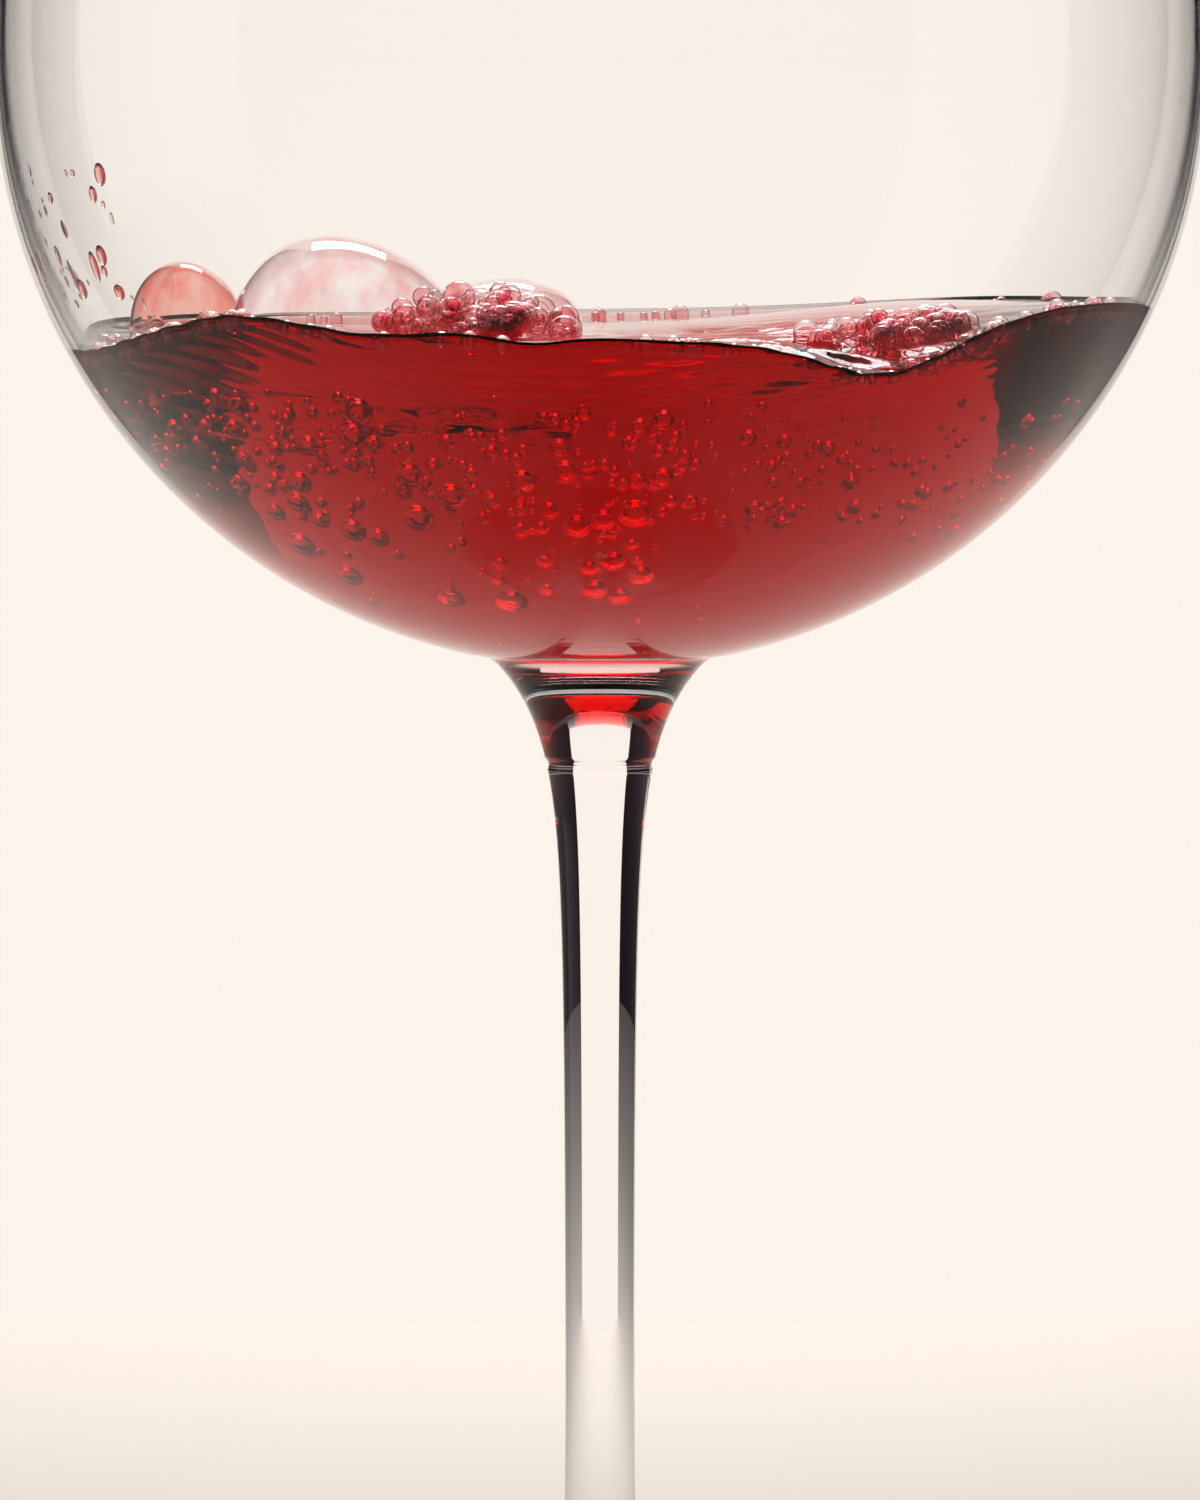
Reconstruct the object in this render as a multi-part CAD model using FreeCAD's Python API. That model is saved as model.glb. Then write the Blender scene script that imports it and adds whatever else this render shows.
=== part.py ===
"""A balloon wine glass standing on its foot, holding a pour of red wine that is still moving.

The glass is one piece: a thin bowl, ball-shaped below its widest line and drawn in to the lip above it,
on a solid stem that flares into a disc foot. Its wall grows from the lip down to a thick base.
The wine fills the ball up to a rocking surface. Two large bubbles, a smaller one and two patches of
froth stand on that surface, each seated on it.

Millimetres. +Z is up, the glass's axis is Z, and the origin is the middle of the foot's underside.
-Y is the side that the swells and the froth are arranged for.
"""

import FreeCAD, Part
import math
import os

# ---- driving dimensions of the glass ----
HEIGHT = 214.0            # foot's underside to lip
BOWL_RADIUS = 55.0        # outside, at the widest line; the ball below it has this radius
BALL_BOTTOM = 97.0        # height of the ball's lowest point, where it would be without the stem
LIP_RADIUS = 39.5         # outside, at the lip
LIP_WALL = 1.0
WIDEST_WALL = 1.1
BASE_WALL = 2.5           # glass under the wine, on the axis

STEM_RADIUS = 3.1         # at the slimmest
NECK_FLARE = 4.75         # how far the neck stands out of the stem at the ball's bottom: short part
NECK_FLARE_LENGTH = 5.8
NECK_TAPER = 1.1          # and the part that fades slowly down the stem
NECK_TAPER_LENGTH = 20.0
NECK_BLEND = 3.3          # reach of the soft corner between neck and ball
SEAM_DROP = 8.6           # fused ring between stem and neck, below the ball's bottom
SEAM_DEPTH = 0.2
SEAM_ROUND = 0.7

FOOT_RADIUS = 44.0
FOOT_EDGE = 1.8           # thickness at the rim
FOOT_SLOPE_DEG = 5.0      # fall of the top towards the rim
FOOT_FLARE_RADIUS = 13.0  # sweep from stem into foot
FOOT_SWELL = 0.25         # the stem's own widening just above that sweep
FOOT_SWELL_LENGTH = 4.0
DISH_RISE = 1.1           # hollow under the foot
DISH_RADIUS = 35.0        # inside edge of the flat ring that it stands on

# ---- driving dimensions of the drink ----
WINE_DEPTH = 27.1         # on the axis, with the surface at rest
# Swells of the rocking surface: place and spread as shares of the surface's radius, height in mm.
#         x      y      spread x, y   height
SWELLS = [
    (-0.67, -0.70, 0.13, 0.33, 2.5),    # hump at the left of the near side
    (-0.96, -0.27, 0.07, 0.22, -0.8),   # dip beside it, at the wall
    (-0.20, -0.94, 0.23, 0.22, 1.1),    # ripple near the middle
    (-0.13, -0.99, 0.06, 0.16, -0.8),   # and the hollow in it
    (0.54, -0.86, 0.13, 0.23, -3.6),    # deep trough at the right of the near side
    (0.92, -0.40, 0.32, 0.50, 3.5),     # the wine climbing the right-hand wall
    (0.62, 0.45, 0.28, 0.35, 1.8),      # and the far side behind the trough
]
SURFACE_STEP_SHARE = 0.08  # spacing of the surface's grid, as a share of its radius
SURFACE_REACH_SHARE = 1.28  # how far out the grid goes, past the wall, as a share of the surface radius
SURFACE_HEADROOM = 30.0    # how far the space above the wine reaches, for cutting

# Bubbles: place as shares of the surface's radius, half sizes in mm.
#                 x      y     half x  half y  height
BUBBLES = {
    "bubble_large": (-0.49, -0.08, 11.2, 10.0, 9.0),
    "bubble_side": (-0.20, 0.00, 8.2, 7.8, 5.4),
    "bubble_left": (-0.81, 0.12, 5.6, 6.2, 6.8),
}
BUBBLE_SINK = 1.0          # how deep a bubble's middle lies in the wine
# Froth: lumps along a row from a first to a last place, with the first and last lump's radius.
#                first place     last place      radii       lumps
FROTH = {
    "froth_left": ((-0.35, -0.12), (-0.08, -0.18), (5.0, 2.8), 4),
    "froth_right": ((0.44, -0.52), (0.68, -0.55), (3.3, 2.2), 4),
}
FROTH_LIFT_SHARE = 0.1     # a lump's middle stands this share of its radius over the surface
FROTH_SWAY_SHARE = 0.25    # and this share beside the row, to either side in turn
WALL_GAP = 0.3             # froth and bubbles keep this far from the glass

# ---- worked out from those ----
BALL_CENTRE = BALL_BOTTOM + BOWL_RADIUS
CAVITY_RADIUS = BOWL_RADIUS - WIDEST_WALL
CAVITY_CENTRE = BALL_CENTRE + BASE_WALL - WIDEST_WALL
CAVITY_BOTTOM = CAVITY_CENTRE - CAVITY_RADIUS
LIP_HEIGHT = HEIGHT - LIP_WALL / 2
WINE_LEVEL = CAVITY_BOTTOM + WINE_DEPTH
SURFACE_RADIUS = math.sqrt(CAVITY_RADIUS**2 - (CAVITY_CENTRE - WINE_LEVEL)**2)
AXIS = FreeCAD.Vector(0, 0, 1)
ORIGIN = FreeCAD.Vector(0, 0, 0)


def at(radius, height):
    """A point of a half section."""
    return FreeCAD.Vector(radius, 0, height)


def line(start, end):
    return Part.LineSegment(start, end).toShape()


def arc(start, middle, end):
    return Part.Arc(start, middle, end).toShape()


def arc_about(centre, radius, first_deg, last_deg):
    """Part of a circle in the half section, its angles measured up from +X."""
    points = [
        at(centre.x + radius * math.cos(math.radians(a)), centre.z + radius * math.sin(math.radians(a)))
        for a in (first_deg, (first_deg + last_deg) / 2, last_deg)
    ]
    return arc(*points)


def turned(edges):
    """The solid that a closed half section sweeps round the axis."""
    return Part.Face(Part.Wire(edges)).revolve(ORIGIN, AXIS, 360)


# ---- the glass ----

def stem_radius(height):
    """Radius of stem and neck between the foot's sweep and the ball."""
    drop = BALL_BOTTOM - height
    neck = NECK_FLARE * math.exp(-drop / NECK_FLARE_LENGTH) + NECK_TAPER * math.exp(-drop / NECK_TAPER_LENGTH)
    return STEM_RADIUS + neck + FOOT_SWELL * math.exp(-(height - sweep_top()) / FOOT_SWELL_LENGTH)


def sweep_top():
    """Height at which the foot's sweep would leave the stem."""
    slope = math.radians(FOOT_SLOPE_DEG)
    sweep_foot = STEM_RADIUS + FOOT_FLARE_RADIUS * (1 - math.sin(slope))
    return FOOT_EDGE + (FOOT_RADIUS - sweep_foot) * math.tan(slope) + FOOT_FLARE_RADIUS * math.cos(slope)


def foot_edges():
    """Underside, rim, sloping top and the sweep up to the stem. Returns the edges and the last point."""
    slope = math.radians(FOOT_SLOPE_DEG)
    rim_round = FOOT_EDGE / 2
    ring_end = at(FOOT_RADIUS - rim_round, 0)
    rim_top = at(ring_end.x + rim_round * math.sin(slope), rim_round + rim_round * math.cos(slope))
    stem_foot = at(stem_radius(sweep_top()), sweep_top())
    sweep_end = at(
        stem_foot.x + FOOT_FLARE_RADIUS * (1 - math.sin(slope)),
        stem_foot.z - FOOT_FLARE_RADIUS * math.cos(slope),
    )
    sweep_middle = math.radians(45 - FOOT_SLOPE_DEG / 2)
    dish_round = (DISH_RADIUS**2 + DISH_RISE**2) / (2 * DISH_RISE)
    dish_middle = at(
        DISH_RADIUS / 2,
        DISH_RISE - dish_round + math.sqrt(dish_round**2 - (DISH_RADIUS / 2)**2),
    )
    edges = [
        arc(at(0, DISH_RISE), dish_middle, at(DISH_RADIUS, 0)),
        line(at(DISH_RADIUS, 0), ring_end),
        arc(ring_end, at(FOOT_RADIUS, rim_round), rim_top),
        line(rim_top, sweep_end),
        arc(
            sweep_end,
            at(
                stem_foot.x + FOOT_FLARE_RADIUS * (1 - math.cos(sweep_middle)),
                stem_foot.z - FOOT_FLARE_RADIUS * math.sin(sweep_middle),
            ),
            stem_foot,
        ),
    ]
    return edges, stem_foot


def neck_edges(stem_foot):
    """Stem and neck as one smooth curve that runs into the ball. Returns the edges and the last point."""
    join_radius = STEM_RADIUS + NECK_FLARE + NECK_TAPER + NECK_BLEND
    join_angle = math.asin(join_radius / BOWL_RADIUS)
    join = at(join_radius, BALL_CENTRE - BOWL_RADIUS * math.cos(join_angle))
    reach = BALL_BOTTOM - stem_foot.z
    shares = [0.98, 0.93, 0.85, 0.75, 0.63, 0.5, 0.38, 0.27, 0.18, 0.11, 0.06, 0.02]
    points = [at(stem_radius(BALL_BOTTOM - reach * share), BALL_BOTTOM - reach * share) for share in shares]
    curve = Part.BSplineCurve()
    curve.interpolate(
        Points=[stem_foot] + points + [join],
        InitialTangent=AXIS,
        FinalTangent=FreeCAD.Vector(math.cos(join_angle), 0, math.sin(join_angle)),
    )
    return [curve.toShape()], join


def bowl_edges(join):
    """The ball from the neck up, the upper wall, the lip and the inside, down to the axis."""
    join_deg = math.degrees(math.atan2(join.z - BALL_CENTRE, join.x))
    ball = arc_about(at(0, BALL_CENTRE), BOWL_RADIUS, join_deg, 0)
    lip_out = at(LIP_RADIUS, LIP_HEIGHT)
    lip_in = at(LIP_RADIUS - LIP_WALL, LIP_HEIGHT)
    lip_top = at(LIP_RADIUS - LIP_WALL / 2, HEIGHT)
    outside = upper_wall(at(BOWL_RADIUS, BALL_CENTRE), lip_out)
    inside = upper_wall(at(CAVITY_RADIUS, CAVITY_CENTRE), lip_in)
    cavity = arc_about(at(0, CAVITY_CENTRE), CAVITY_RADIUS, 0, -90)
    return [ball, outside, arc(lip_out, lip_top, lip_in), inside, cavity]


def upper_wall(widest, lip):
    """An arc that leaves the widest line upright and draws in to the lip."""
    rise, draw = lip.z - widest.z, widest.x - lip.x
    radius = (rise**2 + draw**2) / (2 * draw)
    half = math.asin(rise / radius) / 2
    middle = at(widest.x - radius * (1 - math.cos(half)), widest.z + radius * math.sin(half))
    return arc(widest, middle, lip)


def make_glass():
    foot, stem_foot = foot_edges()
    neck, join = neck_edges(stem_foot)
    closing = line(at(0, CAVITY_BOTTOM), at(0, DISH_RISE))
    body = turned(foot + neck + bowl_edges(join) + [closing])
    seam_height = BALL_BOTTOM - SEAM_DROP
    groove = Part.makeTorus(stem_radius(seam_height) + SEAM_ROUND - SEAM_DEPTH, SEAM_ROUND)
    groove.translate(FreeCAD.Vector(0, 0, seam_height))
    return body.cut(groove)


# ---- the drink ----

def cavity(gap=0.0):
    """The ball-shaped part of the space inside the bowl, a gap in from the glass."""
    radius = CAVITY_RADIUS - gap
    edges = [
        arc_about(at(0, CAVITY_CENTRE), radius, -90, 0),
        line(at(radius, CAVITY_CENTRE), at(0, CAVITY_CENTRE)),
        line(at(0, CAVITY_CENTRE), at(0, CAVITY_CENTRE - radius)),
    ]
    return turned(edges)


def surface_height(x, y):
    """Height of the rocking surface over a place."""
    height = WINE_LEVEL
    for place_x, place_y, spread_x, spread_y, rise in SWELLS:
        across = (x / SURFACE_RADIUS - place_x) / spread_x
        along = (y / SURFACE_RADIUS - place_y) / spread_y
        height += rise * math.exp(-(across**2 + along**2) / 2)
    return height


def space_above():
    """Everything over the rocking surface, as one block with a smooth underside."""
    reach = SURFACE_RADIUS * SURFACE_REACH_SHARE
    count = round(2 * reach / (SURFACE_RADIUS * SURFACE_STEP_SHARE)) + 1
    places = [-reach + 2 * reach * i / (count - 1) for i in range(count)]
    surface = Part.BSplineSurface()
    surface.interpolate([[FreeCAD.Vector(x, y, surface_height(x, y)) for y in places] for x in places])
    return surface.toShape().extrude(FreeCAD.Vector(0, 0, 2 * SURFACE_HEADROOM))


def make_bubble(place_x, place_y, half_x, half_y, rise):
    """An egg-shaped dome round its own middle, which lies a little under the surface."""
    x, y = place_x * SURFACE_RADIUS, place_y * SURFACE_RADIUS
    whole = Part.makeSphere(1.0)
    stretch = FreeCAD.Matrix()
    stretch.scale(half_x, half_y, rise + BUBBLE_SINK)
    stretch.move(FreeCAD.Vector(x, y, surface_height(x, y) - BUBBLE_SINK))
    return whole.transformGeometry(stretch)


def make_froth(first, last, radii, lumps):
    """A row of lumps that grow smaller, joined into one uneven heap."""
    heap = None
    for i in range(lumps):
        share = i / (lumps - 1)
        x = SURFACE_RADIUS * (first[0] + (last[0] - first[0]) * share)
        y = SURFACE_RADIUS * (first[1] + (last[1] - first[1]) * share)
        radius = radii[0] + (radii[1] - radii[0]) * share
        lump = Part.makeSphere(radius)
        sway = FROTH_SWAY_SHARE * radius * (-1)**i
        lump.translate(FreeCAD.Vector(x, y + sway, surface_height(x, y) + FROTH_LIFT_SHARE * radius))
        heap = lump if heap is None else heap.fuse(lump)
    return heap.removeSplitter()


def largest(shape):
    """The main solid of a cut, without slivers."""
    return max(shape.Solids, key=lambda solid: solid.Volume)


def main():
    os.makedirs("parts", exist_ok=True)
    above = space_above()
    parts = {"glass": make_glass(), "wine": cavity().cut(above)}
    room = cavity(WALL_GAP).common(above)
    taken = []
    for name, sizes in FROTH.items():
        parts[name] = make_froth(*sizes).common(room)
        taken.append(parts[name])
    for name, sizes in BUBBLES.items():
        dome = make_bubble(*sizes).common(room)
        for other in taken:
            dome = dome.cut(other)
        parts[name] = dome
        taken.append(dome)
    for name, shape in parts.items():
        solid = largest(shape)
        solid.exportStep(f"parts/{name}.step")
        print(f"{name}: {solid.Volume / 1000:.2f} ml, valid {solid.isValid()}, {solid.BoundBox}")


main()
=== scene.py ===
# %% [markdown]
# A balloon glass with red wine that is still rocking from the pour. Everything that makes this object
# look real is clear: the glass, the wine, thin bubbles and froth. A clear thing has hardly any colour of
# its own. It shows what stands round it, bent and turned over, so the studio is as much a part of the
# look as the meshes are. The lesson builds the meshes first, then the finishes, and last the studio.

# %% Tools and the frame
import math
import random

import bmesh
import bpy
from mathutils import Matrix, Vector


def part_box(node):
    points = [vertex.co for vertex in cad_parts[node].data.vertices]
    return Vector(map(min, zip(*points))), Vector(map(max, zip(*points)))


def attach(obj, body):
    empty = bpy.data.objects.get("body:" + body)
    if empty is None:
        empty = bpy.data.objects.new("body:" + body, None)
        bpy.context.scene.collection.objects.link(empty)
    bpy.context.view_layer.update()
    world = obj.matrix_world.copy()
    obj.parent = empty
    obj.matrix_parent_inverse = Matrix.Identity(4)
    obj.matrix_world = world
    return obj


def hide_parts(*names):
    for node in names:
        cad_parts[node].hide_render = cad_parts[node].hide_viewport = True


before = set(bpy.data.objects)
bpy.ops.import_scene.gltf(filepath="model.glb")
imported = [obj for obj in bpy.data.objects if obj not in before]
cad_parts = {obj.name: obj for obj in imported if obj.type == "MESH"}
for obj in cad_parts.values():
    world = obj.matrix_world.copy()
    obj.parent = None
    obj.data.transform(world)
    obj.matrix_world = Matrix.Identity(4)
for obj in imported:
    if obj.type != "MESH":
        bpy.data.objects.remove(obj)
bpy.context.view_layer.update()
MM = 0.001
print("nodes of the frame:", sorted(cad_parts))

# %% [markdown]
# The frame gives the real sizes. The glass is round, so a few radii and heights say all about it, and
# they are read from the boxes of the nodes. What a box can't tell, such as the thickness of the wall, is
# a named value here, as the glassmaker would have it on the drawing.

# %% Sizes of the glass
GLASS_LOW, GLASS_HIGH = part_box("glass")
WINE_LOW, WINE_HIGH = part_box("wine")
BOWL_RADIUS = round((GLASS_HIGH.x - GLASS_LOW.x) / 2 / MM) * MM
HEIGHT = GLASS_HIGH.z
BALL_BOTTOM = 97 * MM
LIP_RADIUS = 39.5 * MM
LIP_WALL = 1.0 * MM
WIDEST_WALL = 1.1 * MM
BASE_WALL = WINE_LOW.z - BALL_BOTTOM
STEM_RADIUS = 3.1 * MM
NECK_FLARE, NECK_FLARE_LENGTH = 4.75 * MM, 5.8 * MM
NECK_TAPER, NECK_TAPER_LENGTH = 1.1 * MM, 20 * MM
NECK_BLEND = 3.3 * MM
SEAM_DROP, SEAM_DEPTH, SEAM_ROUND = 8.6 * MM, 0.2 * MM, 0.7 * MM
FOOT_RADIUS, FOOT_EDGE = 44 * MM, 1.8 * MM
FOOT_SLOPE = math.radians(5)
FOOT_SWEEP = 13 * MM
FOOT_SWELL, FOOT_SWELL_LENGTH = 0.25 * MM, 4 * MM
DISH_RISE, DISH_RADIUS = 1.1 * MM, 35 * MM
BALL_CENTRE = BALL_BOTTOM + BOWL_RADIUS
CAVITY_RADIUS = BOWL_RADIUS - WIDEST_WALL
CAVITY_CENTRE = BALL_CENTRE + BASE_WALL - WIDEST_WALL
CAVITY_BOTTOM = CAVITY_CENTRE - CAVITY_RADIUS
print(f"bowl {BOWL_RADIUS / MM:.1f} mm in radius, base {BASE_WALL / MM:.2f} mm thick")

# %% [markdown]
# Clear things need clean curves: a lens made of uneven facets shows every one of them. The construction
# mesh is cut for exact size, not for even facets, so the glass is spun here from the same half section.
# A half section is a chain of points from the axis under the foot, over the lip, and back to the axis.

# %% Half section of the glass
def arc_points(centre, radius, first, last, count):
    """Points on part of a circle in the half section. Angles are in radians, up from +X."""
    turns = [first + (last - first) * i / count for i in range(count + 1)]
    return [(centre[0] + radius * math.cos(t), centre[1] + radius * math.sin(t)) for t in turns]


def stem_radius(height):
    drop = BALL_BOTTOM - height
    neck = NECK_FLARE * math.exp(-drop / NECK_FLARE_LENGTH) + NECK_TAPER * math.exp(-drop / NECK_TAPER_LENGTH)
    return STEM_RADIUS + neck + FOOT_SWELL * math.exp(-(height - SWEEP_TOP) / FOOT_SWELL_LENGTH)


def seam(height):
    """Depth of the fused ring's groove at a height."""
    off = abs(height - (BALL_BOTTOM - SEAM_DROP))
    lap = SEAM_ROUND**2 - off**2
    return max(0, math.sqrt(lap) - SEAM_ROUND + SEAM_DEPTH) if lap > 0 else 0


SWEEP_TOP = (
    FOOT_EDGE
    + (FOOT_RADIUS - STEM_RADIUS - FOOT_SWEEP * (1 - math.sin(FOOT_SLOPE))) * math.tan(FOOT_SLOPE)
    + FOOT_SWEEP * math.cos(FOOT_SLOPE)
)
print(f"the foot's sweep leaves the stem at {SWEEP_TOP / MM:.2f} mm")

# %% Foot and stem of the section
def foot_points():
    dish_round = (DISH_RADIUS**2 + DISH_RISE**2) / (2 * DISH_RISE)
    dish_half = math.asin(DISH_RADIUS / dish_round)
    dish = arc_points((0, DISH_RISE - dish_round), dish_round, math.pi / 2, math.pi / 2 - dish_half, 16)
    rim = FOOT_EDGE / 2
    edge = arc_points((FOOT_RADIUS - rim, rim), rim, -math.pi / 2, math.pi / 2 - FOOT_SLOPE, 14)
    stem_foot = stem_radius(SWEEP_TOP)
    sweep = arc_points(
        (stem_foot + FOOT_SWEEP, SWEEP_TOP), FOOT_SWEEP, 1.5 * math.pi - FOOT_SLOPE, math.pi, 26
    )
    steps = 10
    slope = [
        (
            edge[-1][0] + (sweep[0][0] - edge[-1][0]) * i / steps,
            edge[-1][1] + (sweep[0][1] - edge[-1][1]) * i / steps,
        )
        for i in range(1, steps)
    ]
    ring = [(DISH_RADIUS + (FOOT_RADIUS - rim - DISH_RADIUS) * i / 3, 0) for i in (1, 2)]
    return dish + ring + edge + slope + sweep


def neck_points():
    """Stem and neck, ending where the soft corner runs into the ball."""
    join_radius = STEM_RADIUS + NECK_FLARE + NECK_TAPER + NECK_BLEND
    join = (join_radius, BALL_CENTRE - math.sqrt(BOWL_RADIUS**2 - join_radius**2))
    top = BALL_BOTTOM + 0.1 * MM
    shares = [1 - (1 - i / 44) ** 1.5 for i in range(1, 45)]
    heights = [SWEEP_TOP + (top - SWEEP_TOP) * share for share in shares]
    seam_middle = BALL_BOTTOM - SEAM_DROP
    heights += [seam_middle + SEAM_ROUND * (i / 4) for i in range(-4, 5)]
    straight = [(stem_radius(h) - seam(h), h) for h in sorted(heights)]
    start = Vector(straight[-1])
    out = (Vector(straight[-1]) - Vector(straight[-2])).normalized()
    slant = math.asin(join_radius / BOWL_RADIUS)
    back = Vector((math.cos(slant), math.sin(slant)))
    reach = (Vector(join) - start).length * 0.45
    corner = bezier(start, start + out * reach, Vector(join) - back * reach, Vector(join), 12)
    return straight + corner[1:-1]


def bezier(a, b, c, d, count):
    points = []
    for i in range(count + 1):
        t = i / count
        points.append(tuple(a * (1 - t)**3 + b * 3 * t * (1 - t)**2 + c * 3 * t**2 * (1 - t) + d * t**3))
    return points


print(len(foot_points()), "points on the foot,", len(neck_points()), "on stem and neck")

# %% Bowl of the section
def wall_points(widest_radius, widest_height, lip_radius, lip_height, count):
    """An arc that leaves the widest line upright and draws in to the lip."""
    rise, draw = lip_height - widest_height, widest_radius - lip_radius
    radius = (rise**2 + draw**2) / (2 * draw)
    return arc_points((widest_radius - radius, widest_height), radius, 0, math.asin(rise / radius), count)


def bowl_points():
    join_radius = STEM_RADIUS + NECK_FLARE + NECK_TAPER + NECK_BLEND
    lip_height = HEIGHT - LIP_WALL / 2
    first = math.asin(join_radius / BOWL_RADIUS) - math.pi / 2
    ball = arc_points((0, BALL_CENTRE), BOWL_RADIUS, first, 0, 64)
    outside = wall_points(BOWL_RADIUS, BALL_CENTRE, LIP_RADIUS, lip_height, 24)
    inside = wall_points(CAVITY_RADIUS, CAVITY_CENTRE, LIP_RADIUS - LIP_WALL, lip_height, 24)
    lip = arc_points((LIP_RADIUS - LIP_WALL / 2, lip_height), LIP_WALL / 2, 0, math.pi, 10)
    cavity = arc_points((0, CAVITY_CENTRE), CAVITY_RADIUS, 0, -math.pi / 2, 72)
    return ball + outside[1:] + lip[1:-1] + inside[::-1] + cavity[1:]


section = foot_points() + neck_points() + bowl_points()
print(len(section), "points in the half section")

# %% Spinning a section
ROUND_STEPS = 256


def spun(name, points, steps=ROUND_STEPS):
    """A closed round piece from a half section that begins and ends on the axis."""
    bm = bmesh.new()
    chain = [bm.verts.new((x, 0, z)) for x, z in points]
    edges = [bm.edges.new(pair) for pair in zip(chain, chain[1:])]
    bmesh.ops.spin(
        bm, geom=chain + edges, cent=(0, 0, 0), axis=(0, 0, 1), dvec=(0, 0, 0),
        angle=2 * math.pi, steps=steps, use_merge=True, use_normal_flip=False, use_duplicate=False,
    )
    bmesh.ops.remove_doubles(bm, verts=bm.verts, dist=0.001 * MM)
    bmesh.ops.recalc_face_normals(bm, faces=bm.faces)
    return finished(name, bm)


def finished(name, bm, smooth=True):
    """Turns a bmesh into a piece that rides on the part."""
    mesh = bpy.data.meshes.new(name)
    bm.to_mesh(mesh)
    bm.free()
    mesh.polygons.foreach_set("use_smooth", [smooth] * len(mesh.polygons))
    piece = bpy.data.objects.new(name, mesh)
    bpy.context.collection.objects.link(piece)
    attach(piece, "root")
    print(f"{name}: {len(mesh.vertices)} points, {sum(len(p.vertices) - 2 for p in mesh.polygons)} triangles")
    return piece


goblet = spun("goblet", section)
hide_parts("glass")

# %% [markdown]
# Wine in motion is a smooth height over the surface: a resting level, a few broad swells, finer ripples
# and the thin edge where it creeps up the glass. The swells are those of the construction. Each is a
# hump or hollow with a place, a spread and a height, so that the sum stays smooth however they overlap.

# %% The rocking surface
WINE_LEVEL = CAVITY_BOTTOM + 27.1 * MM
SURFACE_RADIUS = math.sqrt(CAVITY_RADIUS**2 - (CAVITY_CENTRE - WINE_LEVEL)**2)
SWELLS = [  # place x and y and spread x and y as shares of the surface's radius, height in mm
    (-0.67, -0.70, 0.13, 0.33, 2.5),
    (-0.96, -0.27, 0.07, 0.22, -0.8),
    (-0.20, -0.94, 0.23, 0.22, 1.1),
    (-0.13, -0.99, 0.06, 0.16, -0.8),
    (0.54, -0.86, 0.13, 0.23, -3.6),
    (0.92, -0.40, 0.32, 0.50, 3.5),
    (0.62, 0.45, 0.28, 0.35, 1.8),
]
RIPPLES = [  # place and spread as above, wave's length and height in mm, its direction in degrees, its start
    (0.36, -0.52, 0.20, 0.26, 3.4, 0.30, 62, 0.0),
    (0.44, -0.40, 0.16, 0.30, 2.1, 0.14, 74, 1.3),
    (0.05, -0.60, 0.55, 0.30, 6.5, 0.12, 96, 0.7),
    (-0.60, -0.40, 0.30, 0.40, 4.2, 0.13, 118, 2.1),
]
POUR = (0.19, -0.10)      # where the pour fell in, with rings round it
POUR_RING, POUR_HEIGHT = 4.6 * MM, 0.16 * MM


def swell_height(x, y):
    height = WINE_LEVEL
    for place_x, place_y, spread_x, spread_y, rise in SWELLS:
        across = (x / SURFACE_RADIUS - place_x) / spread_x
        along = (y / SURFACE_RADIUS - place_y) / spread_y
        height += rise * MM * math.exp(-(across**2 + along**2) / 2)
    return height


def surface_height(x, y):
    height = swell_height(x, y)
    for place_x, place_y, spread_x, spread_y, length, rise, turn, start in RIPPLES:
        across = (x / SURFACE_RADIUS - place_x) / spread_x
        along = (y / SURFACE_RADIUS - place_y) / spread_y
        way = x * math.cos(math.radians(turn)) + y * math.sin(math.radians(turn))
        wave = math.sin(2 * math.pi * way / (length * MM) + start)
        height += rise * MM * wave * math.exp(-(across**2 + along**2) / 2)
    ring = math.hypot(x - POUR[0] * SURFACE_RADIUS, y - POUR[1] * SURFACE_RADIUS)
    return height + POUR_HEIGHT * math.cos(2 * math.pi * ring / POUR_RING) * math.exp(-ring / (9 * MM))


print(f"wine {WINE_LEVEL / MM:.1f} mm up, its surface {2 * SURFACE_RADIUS / MM:.1f} mm across")

# %% [markdown]
# Poured wine is full of air. Each bubble under the surface is a real hollow in the wine's body, a little
# ball whose faces look into the air. Light bends away from it, so a large one shows as a dark ring with
# a bright middle, and a small one as a spark. Hollows keep clear of the surface, the wall and each other.

# %% Places for air under the surface
random.seed(11)
# Each zone holds a count, then ranges of x, of z, of depth behind the front wall and of radius, in mm.
AIR_ZONES = [
    (78, (-28, 6), (106, 122), (0.1, 3.5), (0.55, 1.5)),
    (70, (-44, -20), (117, 124), (0.2, 7), (0.4, 1.1)),
    (230, (-42, 44), (114, 123), (0.5, 16), (0.3, 0.8)),
    (60, (-8, 30), (112, 121), (0.5, 12), (0.3, 0.9)),
    (45, (-25, 30), (102, 114), (0.5, 14), (0.18, 0.45)),
]
AIR_CLEARANCE = 0.35 * MM
AIR_APART = 0.1 * MM
AIR_UNDER = 0.3 * MM
AIR_TRIES = 12


def air_places():
    found = []
    for count, xs, zs, depths, sizes in AIR_ZONES:
        made = 0
        for _ in range(count * AIR_TRIES):
            x, z = random.uniform(*xs) * MM, random.uniform(*zs) * MM
            size = (sizes[0] + (sizes[1] - sizes[0]) * random.random()**2) * MM
            gap = size + AIR_CLEARANCE
            room = (CAVITY_RADIUS - gap)**2 - x**2 - (z - CAVITY_CENTRE)**2
            if made == count or room <= 0:
                continue
            place = Vector((x, -math.sqrt(room) + random.uniform(*depths) * MM, z))
            under = surface_height(place.x, place.y) - place.z > gap + AIR_UNDER
            apart = all((place - other).length > size + reach + AIR_APART for other, reach in found)
            if under and apart:
                found.append((place, size))
                made += 1
    return found


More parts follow.
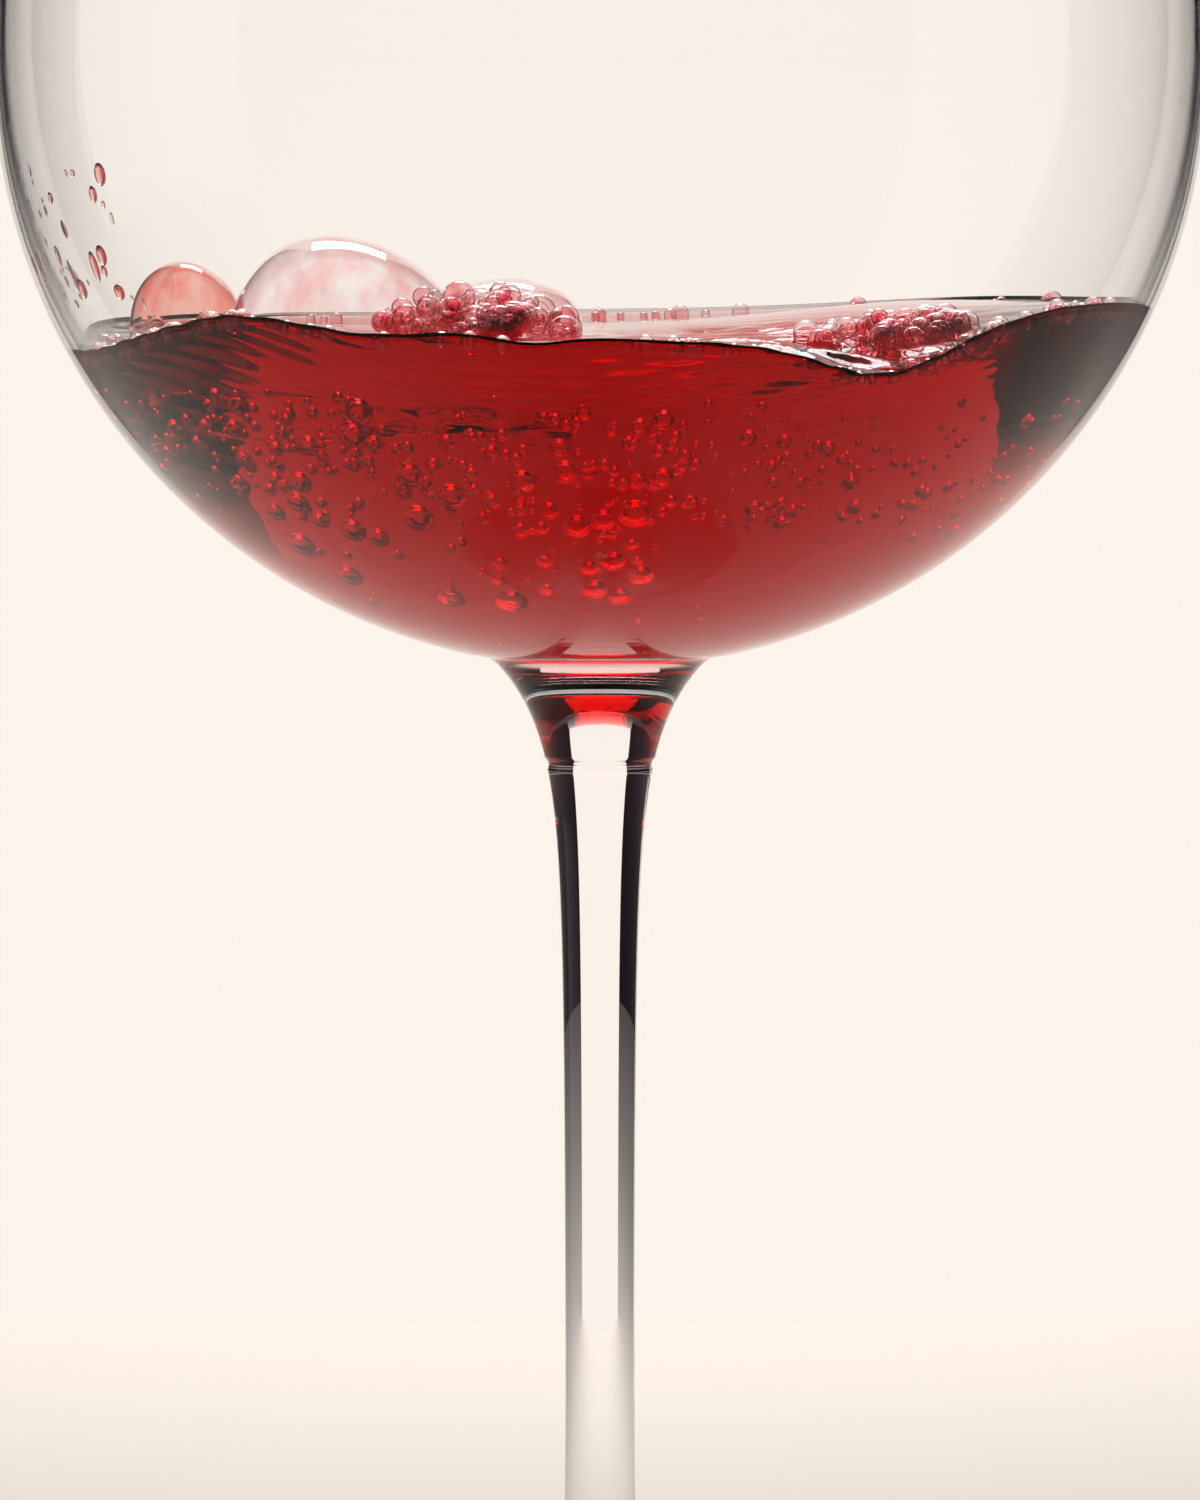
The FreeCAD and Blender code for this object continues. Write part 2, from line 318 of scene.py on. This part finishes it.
AIR = air_places()
print("bubbles under the surface:", len(AIR))

# %% A mesh of many balls
FINE_BALL = 0.8 * MM                     # a ball larger than this gets smaller triangles


def ball_mesh(balls):
    """One mesh of many balls. Each is made alone and then joined, because that is far quicker."""
    joined = bmesh.new()
    for place, size in balls:
        ball = bmesh.new()
        detail = 3 if size > FINE_BALL else 2
        bmesh.ops.create_icosphere(ball, subdivisions=detail, radius=size, matrix=Matrix.Translation(place))
        one = bpy.data.meshes.new("ball")
        ball.to_mesh(one)
        ball.free()
        joined.from_mesh(one)
        bpy.data.meshes.remove(one)
    mesh = bpy.data.meshes.new("balls")
    joined.to_mesh(mesh)
    joined.free()
    return mesh


print("balls over", FINE_BALL / MM, "mm are finer")

# %% [markdown]
# The wine's body is a ball cut by that surface. It reaches a hair into the glass wall, because two clear
# things that only touch leave a skin of air between them, and that skin would shine like a mirror. The
# body is spun from a plain half section first, and then each ring is moved: rings of the top to the
# surface's height, rings of the side down along the ball from wherever the wine meets the glass.

# %% The wine's body
WALL_BITE = 0.25 * MM
CREEP_RISE, CREEP_REACH = 0.7 * MM, 0.8 * MM
TOP_RINGS, SIDE_RINGS = 110, 60
WINE_RADIUS = CAVITY_RADIUS + WALL_BITE


def contact(turn):
    """Radius and height at which the surface meets the ball that bounds the wine, at an angle round Z."""
    radius = SURFACE_RADIUS
    for _ in range(12):
        height = surface_height(radius * math.cos(turn), radius * math.sin(turn)) + CREEP_RISE
        radius = math.sqrt(WINE_RADIUS**2 - (CAVITY_CENTRE - height)**2)
    return radius, height


def make_wine():
    bm = bmesh.new()
    flat = [(SURFACE_RADIUS * i / TOP_RINGS, WINE_LEVEL) for i in range(TOP_RINGS + 1)]
    side = [(SURFACE_RADIUS * (1 - i / SIDE_RINGS), WINE_LEVEL - i * MM) for i in range(1, SIDE_RINGS + 1)]
    chain = [bm.verts.new((x, 0, z)) for x, z in flat + side]
    edges = [bm.edges.new(pair) for pair in zip(chain, chain[1:])]
    bmesh.ops.spin(
        bm, geom=chain + edges, cent=(0, 0, 0), axis=(0, 0, 1), dvec=(0, 0, 0),
        angle=2 * math.pi, steps=ROUND_STEPS, use_merge=True, use_normal_flip=False, use_duplicate=False,
    )
    bmesh.ops.remove_doubles(bm, verts=bm.verts, dist=0.001 * MM)
    edge_at = {}
    for v in bm.verts:
        share = min(math.hypot(v.co.x, v.co.y) / SURFACE_RADIUS, 1)
        turn = math.atan2(v.co.y, v.co.x)
        key = round(turn, 4)
        if key not in edge_at:
            edge_at[key] = contact(turn)
        radius, height = edge_at[key]
        if v.co.z > WINE_LEVEL - 0.5 * MM:
            out = radius * (1 - (1 - share)**1.5)
            x, y = out * math.cos(turn), out * math.sin(turn)
            creep = CREEP_RISE * math.exp(-(radius - out) / CREEP_REACH)
            v.co = (x, y, surface_height(x, y) + creep)
        else:
            first = math.asin((height - CAVITY_CENTRE) / WINE_RADIUS)
            lean = -math.pi / 2 + (first + math.pi / 2) * share
            v.co = (
                WINE_RADIUS * math.cos(lean) * math.cos(turn),
                WINE_RADIUS * math.cos(lean) * math.sin(turn),
                CAVITY_CENTRE + WINE_RADIUS * math.sin(lean),
            )
    bmesh.ops.recalc_face_normals(bm, faces=bm.faces)
    skin = set(bm.faces)
    air = ball_mesh(AIR)
    bm.from_mesh(air)
    bpy.data.meshes.remove(air)
    bmesh.ops.reverse_faces(bm, faces=[f for f in bm.faces if f not in skin])
    return finished("wine_body", bm)


wine_body = make_wine()
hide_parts("wine")

# %% [markdown]
# Three large films of bubble stand on the surface. Each starts as a ball of small triangles, is pulled
# to its own lopsided dome, loses its lower half, and gets a real wall a fifth of a millimetre thick. A
# film with a real wall bends light only near its outline, which is how a bubble shows its edge.

# %% Bubble films
FILM_WALL = 0.2 * MM
FILMS = [                                # piece, node, how uneven, lean along x
    ("large_film", "bubble_large", 0.035, -0.10),
    ("side_film", "bubble_side", 0.045, 0.12),
    ("left_film", "bubble_left", 0.050, 0.05),
]


def make_film(name, node, uneven, lean):
    low, high = (Vector(corner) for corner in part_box(node))
    middle = (low + high) / 2
    bm = bmesh.new()
    bmesh.ops.create_icosphere(bm, subdivisions=5, radius=1)
    for v in bm.verts:
        wave = math.sin(3.1 * v.co.x + 2 * v.co.y + 9 * lean) * math.sin(2.7 * v.co.y - 2.2 * v.co.z)
        v.co *= 1 - uneven + uneven * wave
        v.co.x += lean * max(v.co.z, 0) * (1 - v.co.x**2)
    bmesh.ops.bisect_plane(
        bm, geom=bm.verts[:] + bm.edges[:] + bm.faces[:],
        plane_co=(0, 0, 0), plane_no=(0, 0, 1), clear_inner=True,
    )
    bmesh.ops.scale(bm, vec=((high.x - low.x) / 2, (high.y - low.y) / 2, high.z - low.z), verts=bm.verts)
    bmesh.ops.translate(bm, vec=(middle.x, middle.y, low.z), verts=bm.verts)
    bmesh.ops.recalc_face_normals(bm, faces=bm.faces)
    bmesh.ops.solidify(bm, geom=bm.faces[:], thickness=FILM_WALL)
    film = finished(name, bm)
    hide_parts(node)
    return film


films = [make_film(*row) for row in FILMS]

# %% [markdown]
# Froth is many small bubbles heaped together, each with its own wall. They are made as one piece for
# each patch, in a heap that is highest in the middle. A finer row of them clings to the wall.

# %% Froth
FROTH_WALL = 0.09 * MM


def make_froth(name, balls):
    bm = bmesh.new()
    source = ball_mesh(balls)
    bm.from_mesh(source)
    bpy.data.meshes.remove(source)
    bmesh.ops.solidify(bm, geom=bm.faces[:], thickness=FROTH_WALL)
    froth = finished(name, bm)
    return froth


def heap(node, count, sizes):
    low, high = (Vector(corner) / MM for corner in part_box(node))
    middle, half = (low + high) / 2, (high - low) / 2
    balls = []
    for _ in range(count):
        turn, out = random.uniform(0, 2 * math.pi), math.sqrt(random.random()) * 0.9
        x, y = middle.x + half.x * out * math.cos(turn), middle.y + half.y * out * math.sin(turn)
        size = sizes[0] + (sizes[1] - sizes[0]) * random.random()**1.6
        floor = surface_height(x * MM, y * MM) / MM
        top = max(high.z - size, floor)
        z = floor + 0.3 * size + (top - floor - 0.3 * size) * random.random() * (1 - out**2)
        balls.append((Vector((x, y, z)) * MM, size * MM))
    return balls


random.seed(23)
left_heap = make_froth("left_heap", heap("froth_left", 95, (0.5, 1.7)))
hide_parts("froth_left")
right_heap = make_froth("right_heap", heap("froth_right", 60, (0.5, 1.5)))
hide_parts("froth_right")

# %% Foam along the wall
# Each arc of the wall holds a count and where it starts and ends, in degrees.
FOAM_ARCS = [(48, (184, 242)), (16, (245, 285)), (34, (298, 345)), (30, (20, 160))]


def foam_row():
    balls = []
    for count, (first, last) in FOAM_ARCS:
        for _ in range(count):
            turn = math.radians(random.uniform(first, last))
            size = random.uniform(0.3, 0.95) * MM
            radius, height = contact(turn)
            out = radius - size - random.uniform(0.1, 2.2) * MM
            x, y = out * math.cos(turn), out * math.sin(turn)
            balls.append((Vector((x, y, surface_height(x, y) + 0.3 * size)), size))
    return balls


wall_foam = make_froth("wall_foam", foam_row())

# %% [markdown]
# Where the wine has swung up the left wall it leaves drops and short tears. Each is a ball pressed flat
# against the wall and let a hair into it, so no skin of air is left between drop and glass.

# %% Drops on the wall
random.seed(31)
DROPS = 46
DROP_FLATNESS = 0.38


def make_drops():
    bm = bmesh.new()
    for _ in range(DROPS):
        turn = math.radians(random.uniform(166, 216))
        rise = (130.5 + 12 * random.random()**1.7) * MM
        size = (0.22 + 0.6 * random.random()**2) * MM
        tall = random.choice((1.0, 1.15, 1.3, 2.4))
        lean = math.asin((rise - CAVITY_CENTRE) / CAVITY_RADIUS)
        flat = math.cos(lean)
        outward = Vector((flat * math.cos(turn), flat * math.sin(turn), math.sin(lean)))
        place = Vector((0, 0, CAVITY_CENTRE)) + outward * CAVITY_RADIUS
        facing = outward.to_track_quat("X", "Z").to_matrix().to_4x4()
        pressed = Matrix.Diagonal((DROP_FLATNESS, 1, tall, 1))
        stand = Matrix.Translation(place) @ facing @ pressed
        bmesh.ops.create_icosphere(bm, subdivisions=3, radius=size, matrix=stand)
    drops = finished("wall_drops", bm)
    return drops


wall_drops = make_drops()

# %% [markdown]
# Materials. Clear glass and wine are the same shader with other numbers: how much they bend light, and
# what they take out of it on the way through. Colour in wine is depth, so it is a volume and not paint.
# Shine below 1 on the specular tint quietens mirrored light, which keeps the empty bowl clear.

# %% Materials
def new_material(name):
    material = bpy.data.materials.new(name)
    material.use_nodes = True
    tree = material.node_tree
    shader = tree.nodes["Principled BSDF"]
    return material, tree, shader


def clear_material(name, ior, shine, tint=(1, 1, 1)):
    material, tree, shader = new_material(name)
    shader.inputs["Base Color"].default_value = (*tint, 1)
    shader.inputs["Transmission Weight"].default_value = 1
    shader.inputs["Roughness"].default_value = 0
    shader.inputs["IOR"].default_value = ior
    shader.inputs["Specular Tint"].default_value = (shine, shine, shine, 1)
    return material, tree, shader


def absorb(material, colour, density):
    tree = material.node_tree
    volume = tree.nodes.new("ShaderNodeVolumeAbsorption")
    volume.inputs["Color"].default_value = (*colour, 1)
    volume.inputs["Density"].default_value = density
    tree.links.new(volume.outputs["Volume"], tree.nodes["Material Output"].inputs["Volume"])


crystal, _, _ = clear_material("clear glass", 1.51, 0.3)
red_wine, _, _ = clear_material("red wine", 1.345, 0.4)
absorb(red_wine, (0.972, 0.0, 0.02), 520)
goblet.data.materials.append(crystal)
wine_body.data.materials.append(red_wine)
print("glass and wine have their finishes")


# %% Finishes of films, froth and drops
def streaked_film(name, pale, deep, density):
    """Clear film whose tint runs down it in streaks, as wine drains off a bubble."""
    material, tree, shader = clear_material(name, 1.34, 0.9)
    place = tree.nodes.new("ShaderNodeTexCoord")
    stretch = tree.nodes.new("ShaderNodeMapping")
    stretch.inputs["Scale"].default_value = (420, 420, 90)
    noise = tree.nodes.new("ShaderNodeTexNoise")
    noise.inputs["Scale"].default_value = 1
    noise.inputs["Detail"].default_value = 4
    tint = tree.nodes.new("ShaderNodeValToRGB")
    tint.color_ramp.elements[0].position, tint.color_ramp.elements[0].color = 0.42, (*pale, 1)
    tint.color_ramp.elements[1].position, tint.color_ramp.elements[1].color = 0.72, (*deep, 1)
    tree.links.new(place.outputs["Object"], stretch.inputs["Vector"])
    tree.links.new(stretch.outputs["Vector"], noise.inputs["Vector"])
    tree.links.new(noise.outputs["Fac"], tint.inputs["Fac"])
    tree.links.new(tint.outputs["Color"], shader.inputs["Base Color"])
    absorb(material, (0.98, 0.35, 0.4), density)
    return material


clear_film = streaked_film("clear bubble film", (1, 1, 1), (1, 0.72, 0.74), 120)
coral_film = streaked_film("coral bubble film", (1, 0.8, 0.75), (1, 0.42, 0.36), 450)
froth_film = streaked_film("froth film", (1, 0.95, 0.95), (0.96, 0.5, 0.55), 600)
drop_wine, _, _ = clear_material("wine in drops", 1.345, 0.6)
absorb(drop_wine, (0.97, 0.1, 0.12), 1300)
wall_drops.data.materials.append(drop_wine)
for film, finish in zip(films, (clear_film, clear_film, coral_film)):
    film.data.materials.append(finish)
for froth in (left_heap, right_heap, wall_foam):
    froth.data.materials.append(froth_film)
print("materials:", [m.name for m in bpy.data.materials])

# %% [markdown]
# The set is plain: a pale floor, a soft panel standing behind the glass and another beside it, a softbox
# above, and a dim room around. Clear glass has no colour of its own and shows what stands around it, so
# the width of the panels draws it. Near its outline a ray is bent past the panel's edge into the dim
# room, and the outline turns dark. A wide panel, or a bright room, would wash that outline away. Every
# ray meets the same set: nothing in it is hidden from the camera, from reflections or from refraction.
# Only the backs of the panels are clear, to all rays alike, so that the glass can be seen from behind.

# %% Pale floor
PALE = (0.93, 0.86, 0.79)
FLOOR_RADIUS = 1.6
FLOOR_DROP = 0.3 * MM                    # two faces in one plane would render black


def make_floor():
    bm = bmesh.new()
    bmesh.ops.create_circle(bm, cap_ends=True, radius=FLOOR_RADIUS, segments=96)
    bmesh.ops.translate(bm, vec=(0, 0, -FLOOR_DROP), verts=bm.verts)
    mesh = bpy.data.meshes.new("floor")
    bm.to_mesh(mesh)
    bm.free()
    floor = bpy.data.objects.new("floor", mesh)
    bpy.context.collection.objects.link(floor)
    material, _, shader = new_material("pale floor")
    shader.inputs["Base Color"].default_value = (*PALE, 1)
    shader.inputs["Roughness"].default_value = 1
    shader.inputs["Specular IOR Level"].default_value = 0
    floor.data.materials.append(material)


make_floor()
print("floor radius:", FLOOR_RADIUS)

# %% Soft panels
CREAM = (0.982, 0.905, 0.831)
PANEL_AWAY = 0.45
PANEL_HALF_WIDTH = 0.18
PANEL_HEIGHT = 0.70


def panel_cloth():
    """Cloth that glows evenly on its front. From behind it is clear, so it never hides the glass."""
    material, tree, _ = new_material("panel cloth")
    glow = tree.nodes.new("ShaderNodeEmission")
    glow.inputs["Color"].default_value = (*CREAM, 1)
    clear = tree.nodes.new("ShaderNodeBsdfTransparent")
    side = tree.nodes.new("ShaderNodeNewGeometry")
    pick = tree.nodes.new("ShaderNodeMixShader")
    tree.links.new(side.outputs["Backfacing"], pick.inputs["Fac"])
    tree.links.new(glow.outputs[0], pick.inputs[1])
    tree.links.new(clear.outputs[0], pick.inputs[2])
    tree.links.new(pick.outputs[0], tree.nodes["Material Output"].inputs["Surface"])
    return material


def make_panel(name, turn, cloth):
    """A panel standing on the floor, turned round the glass."""
    bm = bmesh.new()
    bmesh.ops.create_grid(bm, x_segments=1, y_segments=1, size=1)
    bmesh.ops.scale(bm, vec=(PANEL_HALF_WIDTH, PANEL_HEIGHT / 2, 1), verts=bm.verts)
    bmesh.ops.rotate(bm, matrix=Matrix.Rotation(math.radians(90), 3, "X"), verts=bm.verts)
    mesh = bpy.data.meshes.new(name)
    bm.to_mesh(mesh)
    bm.free()
    panel = bpy.data.objects.new(name, mesh)
    bpy.context.collection.objects.link(panel)
    spin = Matrix.Rotation(turn, 4, "Z")
    panel.matrix_world = spin @ Matrix.Translation((0, PANEL_AWAY, PANEL_HEIGHT / 2 - FLOOR_DROP))
    panel.data.materials.append(cloth)


cloth = panel_cloth()
make_panel("back_panel", 0, cloth)
make_panel("side_panel", math.radians(90), cloth)
print("panels stand", PANEL_AWAY, "m away")

# %% Softboxes and room
SOFTBOXES = [                            # name, power in watts, width, place
    ("back_softbox", 1.08, 0.20, (0, 0.33, 0.45)),
    ("high_softbox", 5.5, 1.20, (0, 0, 1.60)),
]
ROOM = (0.010, 0.006, 0.010)


def make_softbox(name, power, width, place):
    data = bpy.data.lights.new(name, "AREA")
    data.size = width
    data.energy = power
    softbox = bpy.data.objects.new(name, data)
    softbox.location = place
    bpy.context.collection.objects.link(softbox)


def make_room():
    world = bpy.data.worlds.new("dim room")
    bpy.context.scene.world = world
    world.use_nodes = True
    world.node_tree.nodes["Background"].inputs["Color"].default_value = (*ROOM, 1)


for softbox in SOFTBOXES:
    make_softbox(*softbox)
make_room()
print("softboxes:", [softbox[0] for softbox in SOFTBOXES])

# %% [markdown]
# The camera stands a little above the wine and looks slightly down, from far enough that the bowl isn't
# swollen by perspective. Light crosses many clear walls here, so it is allowed many bends.

# %% Camera
EYE_DISTANCE = 1.3
EYE_HEIGHT = 145.8 * MM
AIM_HEIGHT = 89.6 * MM
VIEW_HEIGHT = 136.1 * MM


def make_camera():
    data = bpy.data.cameras.new("camera")
    camera = bpy.data.objects.new("camera", data)
    bpy.context.collection.objects.link(camera)
    camera.location = (0, -EYE_DISTANCE, EYE_HEIGHT)
    aim = Vector((0, 0, AIM_HEIGHT)) - camera.location
    camera.rotation_euler = aim.to_track_quat("-Z", "Y").to_euler()
    data.sensor_width = 36
    data.lens = data.sensor_width * aim.length / VIEW_HEIGHT
    data.clip_start, data.clip_end = 0.05, 50
    bpy.context.scene.camera = camera


make_camera()
scene = bpy.context.scene
scene.view_settings.view_transform = "Standard"
scene.cycles.max_bounces = 32
scene.cycles.transmission_bounces = 32
scene.cycles.glossy_bounces = 12
scene.cycles.use_denoising = True
